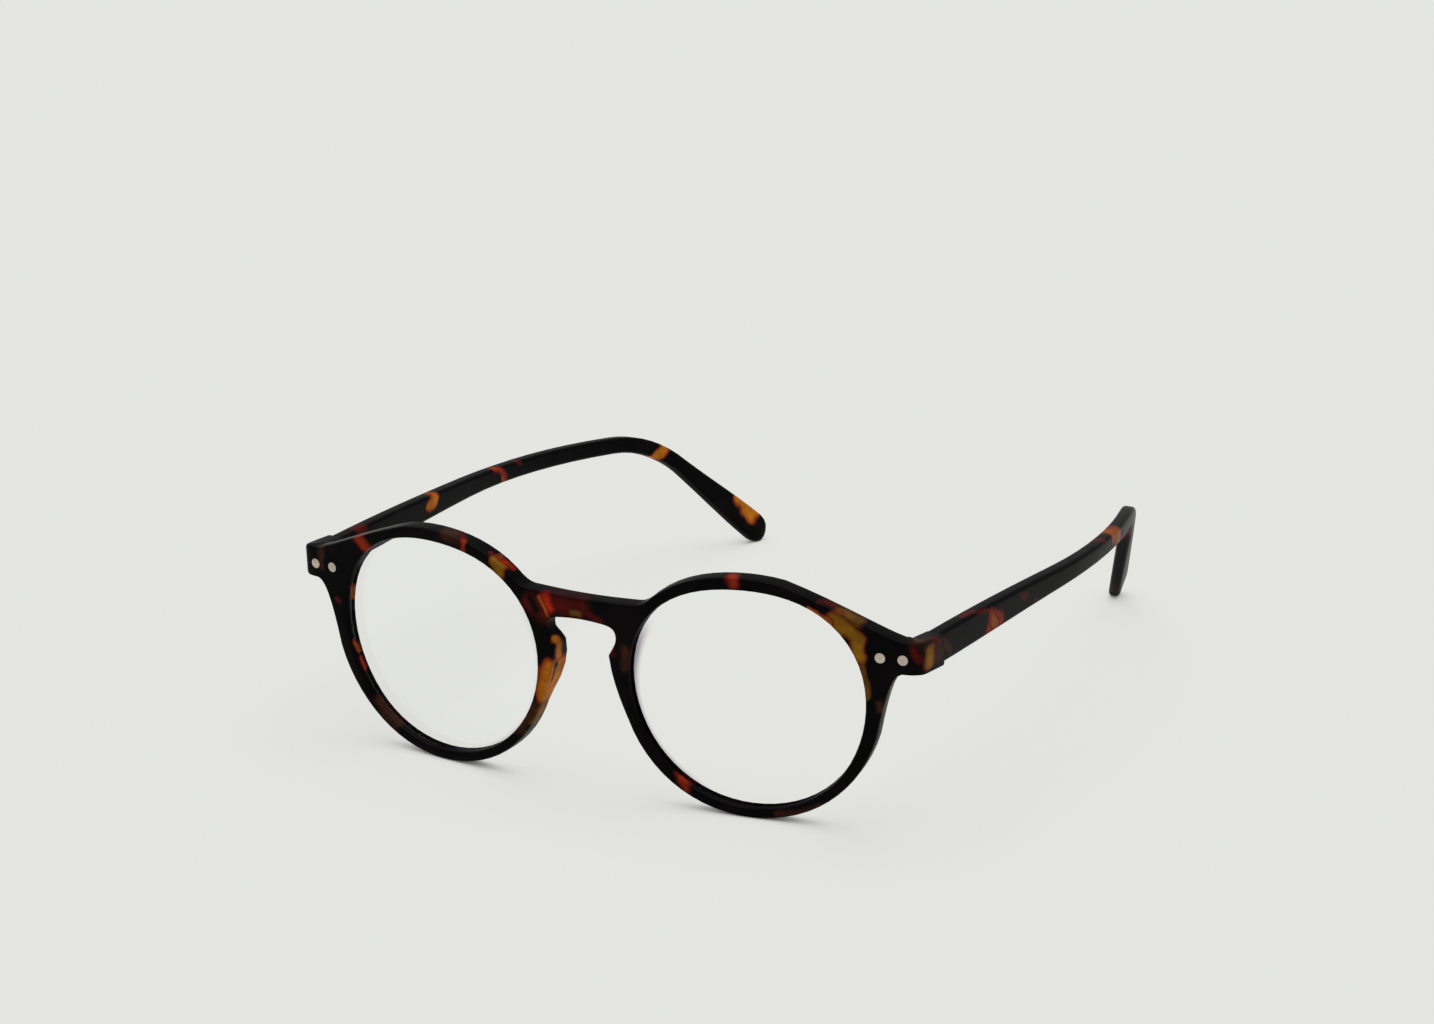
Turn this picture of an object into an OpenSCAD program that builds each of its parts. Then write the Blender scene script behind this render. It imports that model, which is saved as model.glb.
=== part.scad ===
// Reading glasses with a keyhole bridge, moulded nose pads and sprung temple hinges.
// The front faces -Y, the temples run back along +Y, and the glasses stand as they would
// on a table, on the two rims and the two temple tips. Left and right are the wearer's,
// so the left side is at +X.

/* [Front] */
// Distance between the two lens openings
bridge_w = 20.2; // [17:0.1:24]
// Mean radius of a lens opening
eye_r = 23.1; // [20:0.1:26]
// Face width of the rim below the lens
rim_w = 2.05; // [1.8:0.05:3]
// Face width of the rim above the lens
rim_top_w = 2.5; // [1.8:0.05:3]
// Face width of the rim beside the temple
rim_side_w = 3.0; // [2.4:0.1:4]
// Thickness of the front from its face to its back
front_t = 3.9; // [3.2:0.1:4.8]
// Rounding of the front's edges
edge_r = 0.55; // [0.3:0.05:0.8]
// How much wider all round a lens opening is at the back than at the face
eye_flare = 0.9; // [0:0.05:1.2]
// Distance from a lens opening to the front corner beside it
corner_reach = 10.8; // [9:0.1:14]
// Radius that the front is bent to between the lens middles
wrap_r = 250; // [180:5:600]
// Forward lean of the front as it stands, in degrees
tilt = 3.4; // [0:0.1:8]

/* [Bridge and nose pads] */
// Height of the bridge's top edge above the lens middles
bridge_top = 15.9; // [14:0.1:17]
// Height of the bridge bar at its middle
bridge_h = 4.4; // [3:0.1:5.5]
// Width of the flat stretch under the bridge
arch_w = 10.9; // [8:0.1:13]
// Widest gap of the keyhole
keyhole_w = 15.1; // [13:0.1:17]
// Height of the keyhole's widest place above the lens middles
keyhole_z = 8.9; // [7:0.1:10]
// Gap between the upper corners of the nose pads
pad_gap = 11.8; // [10:0.1:14]
// Height of the nose pads' upper corners above the lens middles
pad_z = 5.1; // [3:0.1:6]
// How far the nose pads stand out behind the front
pad_out = 2.6; // [1:0.1:4]
// Height of a nose pad
pad_h = 19; // [14:0.5:22]
// How far the back of a nose pad leans away from the nose
pad_flare = 0.2; // [0:0.1:1]

/* [End pieces] */
// Height of the end piece at the front corner
end_h = 6.5; // [5:0.1:7.5]
// Height of the end piece's middle above the lens middles
end_z = 11.5; // [9:0.1:12.5]
// Length of the end piece from its front corner back to the temple
return_l = 9.6; // [8:0.1:13]
// How far the middle of the end piece falls from its front corner to the temple
end_fall = 1.2; // [0:0.1:2]
// Height of the end piece where it meets the temple
seam_h = 6.4; // [5:0.1:7.2]
// Outward lean of the end piece and of the hinge, in degrees
open_lean = 3.1; // [0:0.1:6]
// Diameter of a rivet's face
rivet_d = 2; // [1.4:0.1:2.4]
// Height of the rivets above the lens middles
rivet_z = 11.3; // [9:0.1:12.5]
// Distance between the two rivets of an end piece
rivet_gap = 4.3; // [3:0.1:5]
// Length of a rivet in the front
rivet_l = 1.5; // [1:0.1:2]

/* [Lenses] */
// Depth of the groove that holds the lens
groove_d = 0.55; // [0.3:0.05:0.7]
// Width of the groove at its mouth
groove_w = 1.5; // [1.2:0.1:1.6]
// Forward bulge of the lens's front surface
lens_front_dome = 1.3; // [0.5:0.1:2]
// Forward bulge of the lens's back surface
lens_back_dome = 0.7; // [0:0.1:1]

/* [Temples] */
// Thickness of a temple at the hinge
temple_t = 3.2; // [2.8:0.1:4.2]
// Distance over which a temple tapers from the hinge to its middle
taper_l = 72; // [30:1:90]
// Height of a temple along its middle
temple_mid_h = 4.4; // [3.4:0.1:5]
// Height of a temple in the bend over the ear
temple_bend_h = 3.7; // [3.2:0.1:5]
// Height of the temple tip
tip_h = 7; // [5:0.1:8]
// Thickness of the temple tip
tip_t = 2.9; // [2.2:0.1:3.4]
// Distance from the front end of a temple to its bend
run_l = 108; // [85:1:120]
// How far the middle of a temple falls from the hinge to the bend
run_fall = 3.1; // [0:0.1:5]
// Downward lean of the temple at the hinge, in degrees
run_lean = 0.4; // [0:0.1:4]
// Distance behind the hinge where the temple starts to curve inward
curve_from = 52; // [30:1:70]
// How far the temple has curved inward after another 100 mm
curve_in = 29; // [15:0.5:36]
// Inward lean of the tip behind the ear, in degrees
tip_lean = 27; // [10:0.5:32]
// Radius of the bend over the ear
bend_r = 32.5; // [20:0.5:45]
// Angle of the bend over the ear, in degrees
bend_angle = 38.4; // [30:0.2:50]
// Rounding of the temple's long edges
temple_edge_r = 1; // [0.5:0.1:1.2]

/* [Hinges] */
// Distance of the hinge screw inward from the temple's inner face
hinge_off = 1.9; // [1.7:0.1:2.6]
// How far the hinge sits below the middle of the end piece
hinge_drop = 0.6; // [0:0.1:1]
// Distance of the hinge screw behind the end piece
hinge_back = 0.6; // [0.4:0.1:0.9]
// Height of the hinge over both front knuckles
hinge_h = 3.2; // [3:0.1:4]
// Diameter of the hinge knuckles
knuckle_d = 2.5; // [2.2:0.1:2.8]
// Height of the hinge eye between the knuckles
eye_h = 1.4; // [1:0.1:1.8]
// Diameter of the hinge screw
screw_d = 1.2; // [1:0.1:1.4]
// Diameter of the screw's head
screw_head_d = 1.9; // [1.6:0.1:2]
// Height of the screw's countersunk head
screw_head_h = 0.5; // [0.4:0.05:0.6]
// Length of the hinge leaf on the end piece
leaf_l = 4.6; // [3.5:0.1:5]
// Thickness of the hinge leaf
leaf_t = 0.8; // [0.6:0.1:1]
// Length of the spring housing
housing_l = 12.5; // [11.5:0.1:15]
// Width of the spring housing, half of it sunk in the temple
housing_w = 2.5; // [2.4:0.1:3]
// Height of the spring housing
housing_h = 2.5; // [2.4:0.1:3]
// Depth of the housing's seat in the temple
housing_seat = 0.95; // [0.6:0.05:1.2]
// Diameter of the housing's bore
bore_d = 1.9; // [1.8:0.05:2]
// Diameter of the eye's rod
rod_d = 0.9; // [0.8:0.05:1]
// Length of the guide bush
bush_l = 1.3; // [1:0.1:1.6]
// Length of the spring between the bush and the nut
spring_l = 5.4; // [4.8:0.1:6.5]
// Thickness of the spring's wire
wire_d = 0.3; // [0.2:0.02:0.34]
// Turns of the spring
turns = 7; // [5:1:9]
// Length of the nut on the rod
nut_l = 0.9; // [0.6:0.1:1.2]

/* [Hidden] */
$fn = 48;

// Clearances: a running fit, a seat, a gap between moving pieces, and the overrun of cuts
run_gap = 0.05;
seat_gap = 0.05;
seam_gap = 0.15;
over = 1;

// Shape of a lens opening, as shares of its mean radius: cosines and sines of 0 to 4 turns
eye_cos_shares = [0, -0.015, 0.038, -0.006, -0.01];
eye_sin_shares = [0, 0.006, 0, 0.02, 0];

// Sides of a lens opening, and the numbers of the sides where the outline's stretches meet it
eye_n = 64;
j_bridge = 27;
j_join = 24;
join_past = 1.25;
j_brow = 13;
j_end = 5;
j_low = -2;
j_nose = -28;
j_pad = -33;
function side_angle(j) = 360 * j / eye_n;

function mix(a, b, u) = a + (b - a) * u;
function bez(a, b, c, d, u) =
    mix(mix(mix(a, b, u), mix(b, c, u), u), mix(mix(b, c, u), mix(c, d, u), u), u);
function inner_points(a, b, c, d, n) = [for (i = [1 : n]) bez(a, b, c, d, i / (n + 1))];
function unit(v) = v / norm(v);
function sum_waves(a, k = 0) = k == len(eye_cos_shares) ? 0 :
    eye_cos_shares[k] * cos(k * a) + eye_sin_shares[k] * sin(k * a) + sum_waves(a, k + 1);

// The front is drawn flat, s along it from the middle and z up, then bent back at the sides
s_eye = bridge_w / 2 + eye_radius(180);
wrap_a = s_eye / wrap_r * 180 / PI;
along = [cos(wrap_a), sin(wrap_a)];
behind = [-sin(wrap_a), cos(wrap_a)];
back_dir = [sin(open_lean), cos(open_lean)];
in_dir = [-cos(open_lean), sin(open_lean)];
eye_xy = [wrap_r * sin(wrap_a), wrap_r * (1 - cos(wrap_a))];
s_corner = s_eye + eye_radius(0) + corner_reach;
corner_xy = eye_xy + (s_corner - s_eye) * along;
turn = 90 - open_lean - wrap_a;
inner_corner_r = 0.5;
corner_e = front_t * tan(turn / 2) + inner_corner_r;
inner_corner_xy = corner_xy + front_t * behind + front_t * tan(turn / 2) * -along;
s_bend_in = s_corner - corner_e;
s_bend_out = s_corner + corner_e;
s_end = s_corner + return_l;
corner_share = 0.88;

function corner_curve(a, c, b, u) = bez(a, mix(a, c, corner_share), mix(b, c, corner_share), b, u);
function front_xy(s, t) =
    s <= s_eye ? let (a = s / wrap_r * 180 / PI)
        [(wrap_r - t) * sin(a), wrap_r - (wrap_r - t) * cos(a)] :
    s <= s_bend_in ? eye_xy + (s - s_eye) * along + t * behind :
    s < s_bend_out ? let (
            u = (s - s_bend_in) / (s_bend_out - s_bend_in),
            a = corner_xy - corner_e * along,
            b = corner_xy + corner_e * back_dir,
            ai = a + front_t * behind,
            bi = b + front_t * in_dir)
        mix(corner_curve(a, corner_xy, b, u), corner_curve(ai, inner_corner_xy, bi, u), t / front_t) :
    corner_xy + (s - s_corner) * back_dir + t * in_dir;
function front_pt(p, t) = let (q = front_xy(p.x, t)) [q.x, q.y, p.y];
function flip(p) = [-p.x, p.y, p.z];

// Lens opening and the rim round it
function eye_radius(a) = eye_r * (1 + sum_waves(a));
function rim_width(a) = mix(rim_w, rim_top_w, pow(max(sin(a), 0), 2))
    + (rim_side_w - rim_w) * pow(max(cos(a), 0), 6);
function eye_pt(a, off) = [s_eye, 0] + (eye_radius(a) + off) * [cos(a), sin(a)];
function rim_pt(a) = eye_pt(a, rim_width(a));

// Outline of one half of the front, clockwise from the top of the bridge
arch_n = 4;
arch_half = arch_w / 2;
join_a = side_angle(j_join);
join_pt = rim_pt(side_angle(j_join + join_past));
fillet = 1.6;
fillet_start_share = 0.8;
fillet_end_share = 0.6;
brow_reach = 9.6;
end_reach = 3.8;
shoulder_reach = 1.9;
side_reach = 8.6;
nose_reach = 4;
pad_reach = 6;
notch_reach = 1.4;
arch_fall = 0.4;
brow_dir = unit([-4, 1]);
shoulder_dir = unit([-5, -1]);
pad_dir = unit([0.1, -1]);
notch_dir = unit([1, 2]);
arch_dir = unit([6, -1]);
function bridge_z(s) = mix(bridge_top, join_pt.y, pow(s / join_pt.x, 2));
function arch_z(s) = bridge_top - bridge_h - arch_fall * pow(s / arch_half, 2);
function bridge_pt(s) = [s, bridge_z(s)];
function end_mid_z(s) = end_z - end_fall * max((s - s_corner) / return_l, 0);
function end_half(s) =
    mix(end_h, seam_h, pow(max((s - s_corner) / return_l, 0), 2)) / 2;

arch_top = [for (i = [0 : arch_n]) bridge_pt(arch_half * i / arch_n)];
bridge_end = bridge_pt(join_pt.x - fillet);
bridge_side = [for (i = [1 : 2]) mix(arch_top[arch_n], bridge_end, i / 2)];
join_fillet = inner_points(bridge_end, mix(bridge_end, join_pt, fillet_start_share),
    mix(rim_pt(join_a), join_pt, fillet_end_share), rim_pt(join_a), 3);
rim_top = [for (j = [j_join : -1 : j_brow]) rim_pt(side_angle(j))];
brow_a = side_angle(j_brow);
end_top_pt = [s_bend_in, end_z + end_h / 2];
brow = inner_points(rim_pt(brow_a), rim_pt(brow_a) + brow_reach * [sin(brow_a), -cos(brow_a)],
    end_top_pt + end_reach * brow_dir, end_top_pt, 6);
bend_n = 9;
end_n = 3;
end_s = concat([for (i = [0 : bend_n]) mix(s_bend_in, s_bend_out, i / bend_n)],
    [for (i = [1 : end_n]) mix(s_bend_out, s_end, i / end_n)]);
end_count = len(end_s);
end_top = [for (s = end_s) [s, end_mid_z(s) + end_half(s)]];
end_low = [for (i = [end_count - 1 : -1 : 0]) [end_s[i], end_mid_z(end_s[i]) - end_half(end_s[i])]];
low_a = side_angle(j_low);
end_low_pt = [s_bend_in, end_z - end_h / 2];
shoulder = inner_points(end_low_pt, end_low_pt + shoulder_reach * shoulder_dir,
    rim_pt(low_a) + side_reach * [-sin(low_a), cos(low_a)], rim_pt(low_a), 6);
rim_low = [for (j = [j_low : -1 : j_nose]) rim_pt(side_angle(j))];
nose_a = side_angle(j_nose);
pad_corner = [pad_gap / 2, pad_z];
keyhole_pt = [keyhole_w / 2, keyhole_z];
nose_edge = inner_points(rim_pt(nose_a), rim_pt(nose_a) + nose_reach * [sin(nose_a), -cos(nose_a)],
    pad_corner + pad_reach * pad_dir, pad_corner, 5);
notch_low = inner_points(pad_corner, pad_corner + notch_reach * notch_dir,
    keyhole_pt - [0, notch_reach], keyhole_pt, 4);
arch_end = [arch_half, arch_z(arch_half)];
notch_top = inner_points(keyhole_pt, keyhole_pt + [0, notch_reach],
    arch_end + notch_reach * arch_dir, arch_end, 4);
arch_low = [for (i = [arch_n : -1 : 0]) [arch_half * i / arch_n, arch_z(arch_half * i / arch_n)]];

half = concat(arch_top, bridge_side, join_fillet, rim_top, brow, end_top, end_low, shoulder,
    rim_low, nose_edge, [pad_corner], notch_low, [keyhole_pt], notch_top, arch_low);
half_n = len(half);
i_join = len(arch_top) + len(bridge_side) + len(join_fillet);
i_brow = i_join + len(rim_top) - 1;
i_end = i_brow + len(brow) + 1;
i_end_low = i_end + 2 * end_count - 1;
i_low = i_end_low + len(shoulder) + 1;
i_nose = i_low + len(rim_low) - 1;
i_pad = i_nose + len(nose_edge) + 1;
i_arch = half_n - len(arch_low);
loop_n = 2 * half_n - 2;

// Direction from a point of the outline into the material
function into(i) =
    i <= arch_n || (i >= i_end && i < i_end + end_count) ? [0, -1] :
    i >= i_arch || (i >= i_end + end_count && i <= i_end_low) ? [0, 1] :
    let (d = unit(half[i + 1] - half[i - 1])) [d.y, -d.x];

// Nose pad: how much of its full depth it has at a point of the outline
pad_mid_share = 0.6;
pad_mid = [mix(pad_gap / 2, keyhole_w / 2, pad_mid_share), pad_z - pad_h / 3];
pad_edge_share = 1.2;
pad_half_w = rim_w + pad_edge_share * edge_r;
function pad_share(p) =
    max(0, 1 - pow((p.x - pad_mid.x) / pad_half_w, 2) - pow((p.y - pad_mid.y) / (pad_h / 2), 2));

// Levels from the face to the back: distance in from the outline, depth, and share of the pad
soft = 1 - cos(45);
outer_levels = [
    [edge_r, 0, 0], [soft * edge_r, soft * edge_r, 0], [0, edge_r, 0],
    [0, front_t - edge_r, 1], [soft * edge_r, front_t - soft * edge_r, 1], [edge_r, front_t, 1]
];
groove_mid = front_t / 2;
groove_floor_share = 0.2;
groove_floor = groove_floor_share * groove_w;
eye_levels = [
    [edge_r, 0], [soft * edge_r, soft * edge_r], [0, edge_r],
    [0, groove_mid - groove_w / 2], [groove_d, groove_mid - groove_floor],
    [groove_d, groove_mid + groove_floor], [0, groove_mid + groove_w / 2],
    [eye_flare, front_t - edge_r], [eye_flare + soft * edge_r, front_t - soft * edge_r],
    [eye_flare + edge_r, front_t]
];
function outer_pt(i, lv) = let (
        p = half[i] + lv[0] * into(i),
        w = lv[2] * pad_share(p))
    front_pt(p + [w * pad_flare, 0], lv[1] + w * pad_out);
function outer_loop(lv) = let (right = [for (i = [0 : half_n - 1]) outer_pt(i, lv)])
    concat(right, [for (i = [half_n - 2 : -1 : 1]) flip(right[i])]);
function eye_loop(lv) =
    [for (j = [0 : eye_n - 1]) let (p = eye_pt(side_angle(j), lv[0])) front_pt(p, lv[1] +
        (lv[1] > groove_mid ? pad_out * pad_share(p) : 0))];

// Triangles between two chains of point numbers that run the same way
function zip(p, q, i = 0, j = 0) =
    i == len(p) - 1 && j == len(q) - 1 ? [] :
    j == len(q) - 1 || (i < len(p) - 1 && (i + 1) / (len(p) - 1) <= (j + 1) / (len(q) - 1)) ?
        concat([[p[i], p[i + 1], q[j]]], zip(p, q, i + 1, j)) :
        concat([[p[i], q[j + 1], q[j]]], zip(p, q, i, j + 1));
function quad(a, b, c, d) = [[a, b, c], [a, c, d]];
function reversed(f) = [for (t = f) [t[2], t[1], t[0]]];
function join_lists(l) = [for (a = l) each a];

// One half of the face or the back, between the outline's level and the lens opening's level
outline_stops = [arch_n, i_join, i_brow, i_end];
eye_stops = [j_bridge, j_join, j_brow, j_end];
low_stops = [i_end_low, i_low, i_nose, i_pad, i_arch];
low_eye_stops = [j_end, j_low, j_nose, j_pad, j_bridge - eye_n];
function face_chain(stops, eyes, o, e, mirrored) = join_lists([for (k = [0 : len(stops) - 2])
    zip([for (i = [stops[k] : stops[k + 1]]) outline_no(i, o, mirrored)],
        [for (j = [eyes[k] : -1 : eyes[k + 1]]) eye_no(j, e, mirrored)])]);
function outline_no(i, level, mirrored) = level * loop_n + (mirrored ? (loop_n - i) % loop_n : i);
function eye_no(j, level, mirrored) = len(outer_levels) * loop_n
    + ((mirrored ? len(eye_levels) : 0) + level) * eye_n + (j + eye_n) % eye_n;
function half_face(o, e, m) = concat(
    face_chain(outline_stops, eye_stops, o, e, m),
    face_chain(low_stops, low_eye_stops, o, e, m),
    [[outline_no(i_end, o, m), outline_no(i_end_low, o, m), eye_no(j_end, e, m)]],
    [[outline_no(i_arch, o, m), outline_no(arch_n, o, m), eye_no(j_bridge, e, m)]],
    join_lists([for (i = [0 : arch_n - 1]) quad(outline_no(i, o, m), outline_no(i + 1, o, m),
        outline_no(half_n - 2 - i, o, m), outline_no(half_n - 1 - i, o, m))]),
    join_lists([for (k = [0 : end_count - 2])
        quad(outline_no(i_end + k, o, m), outline_no(i_end + k + 1, o, m),
            outline_no(i_end_low - k - 1, o, m), outline_no(i_end_low - k, o, m))]));
function ring_quads(first, n, levels) = join_lists([for (l = [0 : levels - 2], i = [0 : n - 1])
    let (k = (i + 1) % n)
    quad(first + l * n + i, first + (l + 1) * n + i, first + (l + 1) * n + k, first + l * n + k)]);

back_o = len(outer_levels) - 1;
back_e = len(eye_levels) - 1;
eye_first = len(outer_levels) * loop_n;
eye_points = join_lists([for (lv = eye_levels) eye_loop(lv)]);
front_points = concat(join_lists([for (lv = outer_levels) outer_loop(lv)]), eye_points,
    [for (p = eye_points) flip(p)]);
front_faces = concat(
    half_face(0, 0, false), reversed(half_face(0, 0, true)),
    reversed(half_face(back_o, back_e, false)), half_face(back_o, back_e, true),
    ring_quads(0, loop_n, len(outer_levels)),
    ring_quads(eye_first, eye_n, len(eye_levels)),
    reversed(ring_quads(eye_first + len(eye_points), eye_n, len(eye_levels))));

// The front stands on its rims, tilted forward at the top
function tilted(p) = [p.x, p.y * cos(tilt) - p.z * sin(tilt), p.y * sin(tilt) + p.z * cos(tilt)];
tilted_points = [for (p = front_points) tilted(p)];
front_lift = -min([for (p = tilted_points) p.z]);
front_most = min([for (p = tilted_points) p.y]);

// Hinge: its middle, before the whole is centred from front to back
end_inner = corner_xy + return_l * back_dir + front_t * in_dir;
end_mid = tilted([end_inner.x, end_inner.y, end_mid_z(s_end)]);
hinge_xy = [end_mid.x, end_mid.y] + hinge_off * in_dir + hinge_back * back_dir;
hinge_z = end_mid.z + front_lift - hinge_drop;

// Temple, drawn from its hinge: y back along it, x out, z up
temple_start = seam_gap - hinge_back;
bend_start = temple_start + run_l;
fall_a = atan(tan(run_lean) + 3 * run_fall / run_l);
cap_r = tip_h / 2;
bend_mid = [bend_start - bend_r * sin(fall_a), run_z(bend_start) - bend_r * cos(fall_a)];
drop_a = fall_a + bend_angle;
bend_stop = bend_mid + bend_r * [sin(drop_a), cos(drop_a)];
tip_run = (bend_stop.y + hinge_z - cap_r) / sin(drop_a);
tip_mid = bend_stop + tip_run * [cos(drop_a), -sin(drop_a)];
paddle_l = 31;
run_n = 16;
turn_n = 8;
tip_n = 7;
cap_n = 4;
cap_a = 84;
// Each station: distance back, height, slope in degrees, height of the section, its thickness
function run_z(y) = hinge_drop - tan(run_lean) * (y - temple_start)
    - run_fall * pow((y - temple_start) / run_l, 3);
function run_slope(y) =
    -atan(tan(run_lean) + 3 * run_fall / run_l * pow((y - temple_start) / run_l, 2));
function ease(u) = let (v = min(max(u, 0), 1)) v * v * (3 - 2 * v);
function run_height(y) = mix(seam_h, mix(temple_mid_h, temple_bend_h, y / bend_start), ease(y / taper_l));
function tip_height(d) = mix(temple_bend_h, tip_h, ease(1 - (tip_run - d) / paddle_l));
function tip_thick(d) = mix(temple_t, tip_t, ease(d / tip_run));
run_stations = [for (i = [0 : run_n]) let (y = mix(temple_start, bend_start, i / run_n))
    [y, run_z(y), run_slope(y), run_height(y), temple_t]];
turn_stations = [for (i = [1 : turn_n]) let (a = mix(fall_a, drop_a, i / turn_n))
    [bend_mid.x + bend_r * sin(a), bend_mid.y + bend_r * cos(a), -a, temple_bend_h, temple_t]];
tip_stations = [for (i = [1 : tip_n]) let (d = tip_run * i / tip_n, p = mix(bend_stop, tip_mid, i / tip_n))
    [p.x, p.y, -drop_a, tip_height(d), tip_thick(d)]];
cap_stations = [for (i = [1 : cap_n]) let (a = cap_a * i / cap_n,
        p = tip_mid + cap_r * sin(a) * [cos(drop_a), -sin(drop_a)])
    [p.x, p.y, -drop_a, tip_h * cos(a), mix(tip_t, tip_t / 2, pow(sin(a), 4))]];
stations = concat(run_stations, turn_stations, tip_stations, cap_stations);
// Plan of the temple: a growing inward curve along the run, then a straight tip
curve_l = 100;
function curve_x(y) = -curve_in * pow(max(y - curve_from, 0) / curve_l, 2);
curve_slope = 2 * curve_in / curve_l * (bend_start - curve_from) / curve_l;
bend_run = bend_stop.x - bend_start;
slope_rise = tan(tip_lean) - curve_slope;
function plan_x(y) = y <= bend_start ? curve_x(y) :
    curve_x(bend_start) - curve_slope * (y - bend_start)
    - slope_rise * (pow(min(y - bend_start, bend_run), 2) / (2 * bend_run) + max(y - bend_stop.x, 0));
ring_n = 16;
round_share = 0.48;
function section_pt(k, h, t) = let (
        r = min(temple_edge_r, round_share * t, round_share * h),
        a = 360 * (k + 0.5) / ring_n,
        cx = cos(a) > 0 ? t / 2 - r : r - t / 2,
        cz = sin(a) > 0 ? h / 2 - r : r - h / 2)
    [cx + r * cos(a), cz + r * sin(a)];
function ring_of(st, first) = [for (k = [0 : ring_n - 1]) let (
        q = section_pt(k, st[3], st[4]),
        y = st[0] - q.y * (first ? tan(tilt) : sin(st[2])))
    [hinge_off + temple_t / 2 + plan_x(st[0]) + q.x, y, st[1] + q.y * cos(st[2])]];
temple_points = join_lists([for (i = [0 : len(stations) - 1]) ring_of(stations[i], i == 0)]);
last_ring = (len(stations) - 1) * ring_n;
temple_faces = concat(
    [for (k = [1 : ring_n - 2]) [0, k + 1, k]],
    [for (k = [1 : ring_n - 2]) [last_ring, last_ring + k, last_ring + k + 1]],
    join_lists([for (i = [0 : len(stations) - 2], k = [0 : ring_n - 1])
        let (a = i * ring_n + k, b = i * ring_n + (k + 1) % ring_n)
        quad(a, b, b + ring_n, a + ring_n)]));

// The whole is centred from front to back on the origin
tip_back = max([for (p = temple_points) hinge_xy.y + p.x * -sin(open_lean) + p.y * cos(open_lean)]);
centre_y = -(front_most + tip_back) / 2;

module in_front() {
    translate([0, centre_y, front_lift]) rotate([tilt, 0, 0]) children();
}

module at_hinge(side) {
    mirror([side < 0 ? 1 : 0, 0, 0])
        translate([hinge_xy.x, hinge_xy.y + centre_y, hinge_z]) rotate([0, 0, -open_lean]) children();
}

// A block from one corner to the opposite one
module block(low, high) {
    translate(low) cube(high - low);
}

// A round bar along y
module bar(r, y0, y1) {
    translate([rod_x, y0, 0]) rotate([-90, 0, 0]) cylinder(r = r, h = y1 - y0);
}

// Front frame: bent front with lens grooves, keyhole bridge, nose pads and end pieces
rivet_past = 0.25;
rivet_s = [s_bend_in + rivet_past, s_bend_in + rivet_past - rivet_gap];
tab_l = leaf_l / 2;
tab_h = hinge_h / 2;
tab_d = leaf_t * 1.5;
leaf_back = -hinge_back - seat_gap;
leaf_x = hinge_off - seat_gap;
tab_front = leaf_back - (leaf_l + tab_l) / 2;
module rivet_places(side) {
    for (s = rivet_s)
        in_front() mirror([side < 0 ? 1 : 0, 0, 0])
            translate([front_xy(s, 0).x, front_xy(s, 0).y, rivet_z])
                rotate([-90, 0, wrap_a]) children();
}

module tab(grow) {
    block([0, tab_front - grow, -tab_h / 2 - grow],
        [hinge_off + tab_d + grow, tab_front + tab_l + grow, tab_h / 2 + grow]);
}

module front_frame() {
    color("#2a1510") difference() {
        in_front() polyhedron(front_points, front_faces);
        for (side = [-1, 1]) {
            rivet_places(side) translate([0, 0, -over])
                cylinder(d = rivet_d + 2 * seat_gap, h = rivet_l + seat_gap + over);
            at_hinge(side) tab(seat_gap);
        }
    }
}

// Rivets: two silvery studs let into each end piece, with softly domed faces
rivet_dome = 0.12;
module front_rivets(side) {
    dome_r = (rivet_d * rivet_d / 4 + rivet_dome * rivet_dome) / (2 * rivet_dome);
    color("#c9c4b8") rivet_places(side) {
        cylinder(d = rivet_d, h = rivet_l);
        intersection() {
            translate([0, 0, dome_r - rivet_dome]) sphere(r = dome_r, $fn = 96);
            translate([0, 0, -rivet_dome]) cylinder(d = rivet_d, h = rivet_l);
        }
    }
}

// Lens: bevelled edge in the groove, front surface bulging more than the back
lens_gap = 0.07;
lens_ring_shares = [0.3, 0.6, 0.85];
lens_edge_t = groove_w - 2 * lens_gap;
bevel_t = groove_floor;
function lens_loop(share, off, t) = [for (j = [0 : eye_n - 1]) let (a = side_angle(j))
    front_pt(mix([s_eye, 0], eye_pt(a, off), share), t)];
function lens_level(share, sign) = let (dome = sign < 0 ? lens_front_dome : lens_back_dome)
    lens_loop(share, -lens_gap, groove_mid + sign * lens_edge_t / 2 - dome * (1 - share * share));
lens_loops = concat(
    [for (s = lens_ring_shares) lens_level(s, -1)], [lens_level(1, -1)],
    [lens_loop(1, groove_d - lens_gap, groove_mid - bevel_t / 2)],
    [lens_loop(1, groove_d - lens_gap, groove_mid + bevel_t / 2)],
    [lens_level(1, 1)],
    [for (i = [len(lens_ring_shares) - 1 : -1 : 0]) lens_level(lens_ring_shares[i], 1)]);
lens_levels = len(lens_loops);
lens_mid = lens_levels * eye_n;
lens_points = concat(join_lists(lens_loops), [
    front_pt([s_eye, 0], groove_mid - lens_edge_t / 2 - lens_front_dome),
    front_pt([s_eye, 0], groove_mid + lens_edge_t / 2 - lens_back_dome)]);
lens_faces = concat(
    reversed(ring_quads(0, eye_n, lens_levels)),
    [for (j = [0 : eye_n - 1]) [(j + 1) % eye_n, j, lens_mid]],
    [for (j = [0 : eye_n - 1]) let (b = lens_mid - eye_n) [b + j, b + (j + 1) % eye_n, lens_mid + 1]]);
module lens(side) {
    color([0.86, 0.93, 0.95, 0.35]) in_front() mirror([side < 0 ? 1 : 0, 0, 0])
        polyhedron(lens_points, lens_faces);
}

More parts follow.
